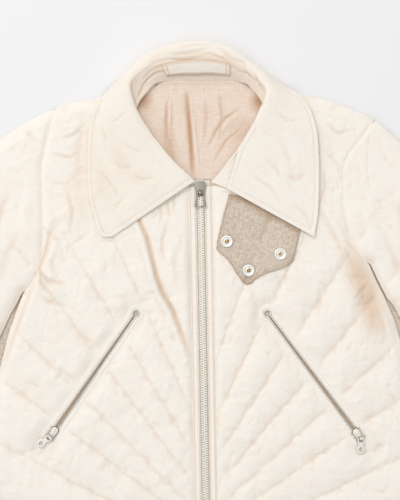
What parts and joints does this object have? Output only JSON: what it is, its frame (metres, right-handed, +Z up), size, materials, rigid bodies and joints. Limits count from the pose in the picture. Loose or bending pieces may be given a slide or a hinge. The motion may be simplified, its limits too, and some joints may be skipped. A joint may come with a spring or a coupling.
{
  "type": "quilted zip jacket laid flat",
  "caption": "Light quilted cotton zip jacket with a large pointed collar, laid flat on its back; fan quilting, slanted zip pockets, linen throat tab with ring snaps.",
  "frame": {"origin": "on the surface it lies on, under the middle of its outline, which is near the middle of the zip", "axes": "+Z up off the surface, +Y towards the neck, +X towards the wearer's left sleeve; the jacket lies on its back"},
  "size_m": [1.033, 0.689, 0.0242],
  "materials": {
    "ecru_cloth": "matt undyed cotton twill over thin wadding",
    "heather_linen": "coarse heathered linen",
    "lining_linen": "plain-weave linen lining",
    "zip_tape": "woven cotton zip tape",
    "nickel": "tumbled nickel-plated zip parts and ring snaps"
  },
  "bodies": {
    "garment": {"back": "ecru_cloth", "front_right": "ecru_cloth", "placket_right": "ecru_cloth", "sleeve_top_right": "ecru_cloth", "sleeve_under_right": "ecru_cloth", "gusset_right": "heather_linen", "pocket_zip_right": "nickel", "pocket_bag_right": "heather_linen", "pocket_slider_right": "nickel", "front_left": "ecru_cloth", "placket_left": "ecru_cloth", "sleeve_top_left": "ecru_cloth", "sleeve_under_left": "ecru_cloth", "gusset_left": "heather_linen", "pocket_zip_left": "nickel", "pocket_bag_left": "heather_linen", "pocket_slider_left": "nickel", "zip_tape": "zip_tape", "zip_chain": "nickel", "zip_slider": "nickel", "lining_back": "lining_linen", "collar_stand": "ecru_cloth", "collar_fall": "ecru_cloth", "hanger_loop": "ecru_cloth", "throat_tab": "heather_linen", "snap_1": "nickel", "snap_2": "nickel", "snap_3": "nickel"},
    "main_pull": {"zip_pull": "nickel"},
    "pull_right": {"pocket_pull_right": "nickel"},
    "pull_left": {"pocket_pull_left": "nickel"}
  },
  "joints": [
    {"name": "main_pull_hinge", "type": "hinge", "parent": "garment", "child": "main_pull", "pos_m": [-0.00217, 0.1446, 0.0127], "axis": [-1, 0, 0], "range_deg": [0, 135]},
    {"name": "pocket_pull_right_hinge", "type": "hinge", "parent": "garment", "child": "pull_right", "pos_m": [-0.19742, -0.17293, 0.0128], "axis": [-0.5446, 0.8387, 0], "range_deg": [0, 135]},
    {"name": "pocket_pull_left_hinge", "type": "hinge", "parent": "garment", "child": "pull_left", "pos_m": [0.2066, -0.1748, 0.0128], "axis": [-0.9997, 0.0262, 0], "range_deg": [0, 135]}
  ]
}
